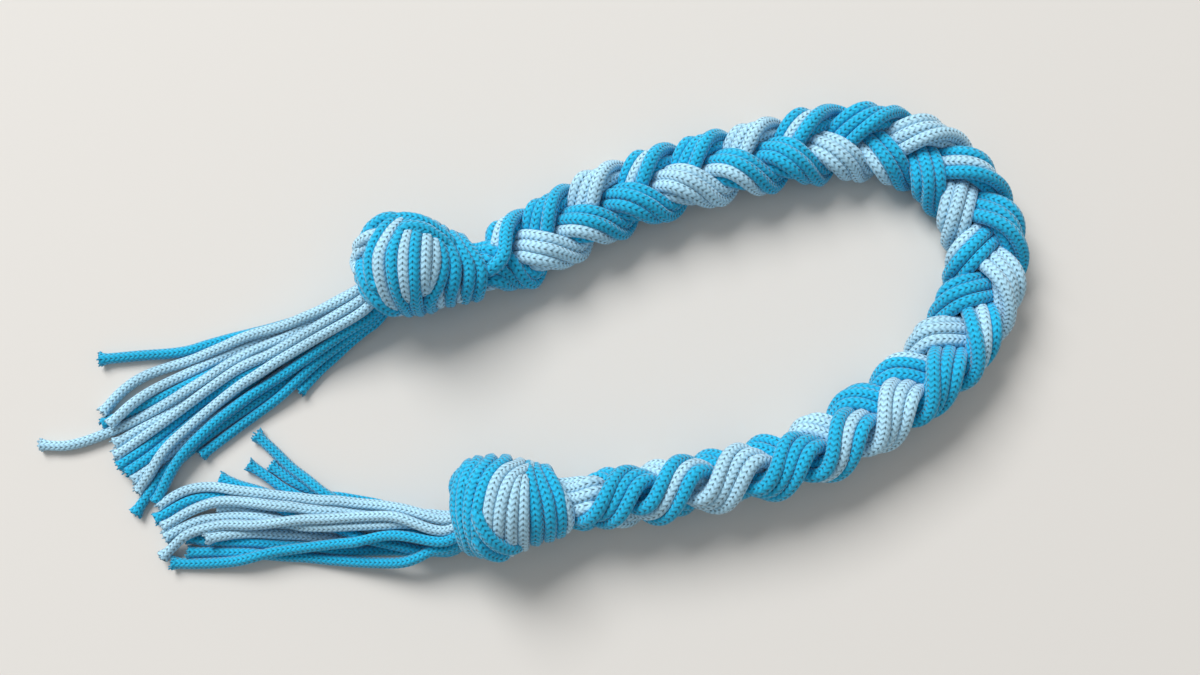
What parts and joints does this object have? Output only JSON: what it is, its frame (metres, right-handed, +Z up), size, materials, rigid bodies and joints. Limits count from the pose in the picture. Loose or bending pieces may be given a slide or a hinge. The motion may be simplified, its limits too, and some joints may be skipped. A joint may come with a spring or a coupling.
{
  "type": "rope dog toy",
  "caption": "Plaited tug toy of soft knitted cords in pale and bright blue, bent in a loose U, with a large knot near each end and a tassel of cut cord ends past each knot.",
  "frame": {"origin": "on the surface that the toy lies on, under the middle of its box", "axes": "+X from the tassels to the bend, along the toy's longest extent; +Y towards the leg with the first knot; +Z up, away from the surface"},
  "size_m": [0.4267, 0.2077, 0.0441],
  "materials": {
    "cyan_cord": "matt knitted polyester cord",
    "pale_cord": "matt knitted polyester cord"
  },
  "bodies": {
    "rope": {"plait_one_1_cyan": "cyan_cord", "plait_one_2_cyan": "cyan_cord", "plait_one_3_cyan": "cyan_cord", "plait_one_4_cyan": "cyan_cord", "plait_one_5_cyan": "cyan_cord", "plait_three_1_cyan": "cyan_cord", "plait_three_2_pale": "pale_cord", "plait_three_3_cyan": "cyan_cord", "plait_three_4_pale": "pale_cord", "plait_three_5_cyan": "cyan_cord", "plait_two_1_pale": "pale_cord", "plait_two_2_pale": "pale_cord", "plait_two_3_pale": "pale_cord", "plait_two_4_pale": "pale_cord", "plait_two_5_pale": "pale_cord", "wrap_a_1_cyan": "cyan_cord", "wrap_a_2_pale": "pale_cord", "wrap_a_3_cyan": "cyan_cord", "wrap_a_4_pale": "pale_cord", "wrap_a_5_cyan": "cyan_cord", "wrap_a_6_pale": "pale_cord", "wrap_a_7_cyan": "cyan_cord", "wrap_b_1_pale": "pale_cord", "wrap_b_2_cyan": "cyan_cord", "wrap_b_3_pale": "pale_cord", "wrap_b_4_cyan": "cyan_cord"},
    "tassel_a": {"tail_a_01_pale": "pale_cord", "tail_a_02_pale": "pale_cord", "tail_a_03_pale": "pale_cord", "tail_a_04_pale": "pale_cord", "tail_a_05_pale": "pale_cord", "tail_a_06_pale": "pale_cord", "tail_a_07_cyan": "cyan_cord", "tail_a_08_cyan": "cyan_cord", "tail_a_09_cyan": "cyan_cord", "tail_a_10_cyan": "cyan_cord", "tail_a_11_cyan": "cyan_cord", "tail_a_12_cyan": "cyan_cord", "tail_a_13_pale": "pale_cord", "tail_a_14_cyan": "cyan_cord", "tail_a_15_cyan": "cyan_cord"},
    "tassel_b": {"tail_b_01_pale": "pale_cord", "tail_b_02_pale": "pale_cord", "tail_b_03_cyan": "cyan_cord", "tail_b_04_pale": "pale_cord", "tail_b_05_pale": "pale_cord", "tail_b_06_cyan": "cyan_cord", "tail_b_07_cyan": "cyan_cord", "tail_b_08_cyan": "cyan_cord", "tail_b_09_pale": "pale_cord", "tail_b_10_pale": "pale_cord", "tail_b_11_cyan": "cyan_cord", "tail_b_12_cyan": "cyan_cord", "tail_b_13_cyan": "cyan_cord", "tail_b_14_pale": "pale_cord", "tail_b_15_cyan": "cyan_cord"}
  },
  "joints": [
    {"name": "tassel_a_lift", "type": "hinge", "parent": "rope", "child": "tassel_a", "pos_m": [-0.0785, 0.01969, 0.022], "axis": [-0.1045, 0.9945, 0], "range_deg": [0, 60]},
    {"name": "tassel_b_lift", "type": "hinge", "parent": "rope", "child": "tassel_b", "pos_m": [-0.03478, -0.07804, 0.022], "axis": [-0.0698, 0.9976, 0], "range_deg": [0, 60]}
  ]
}
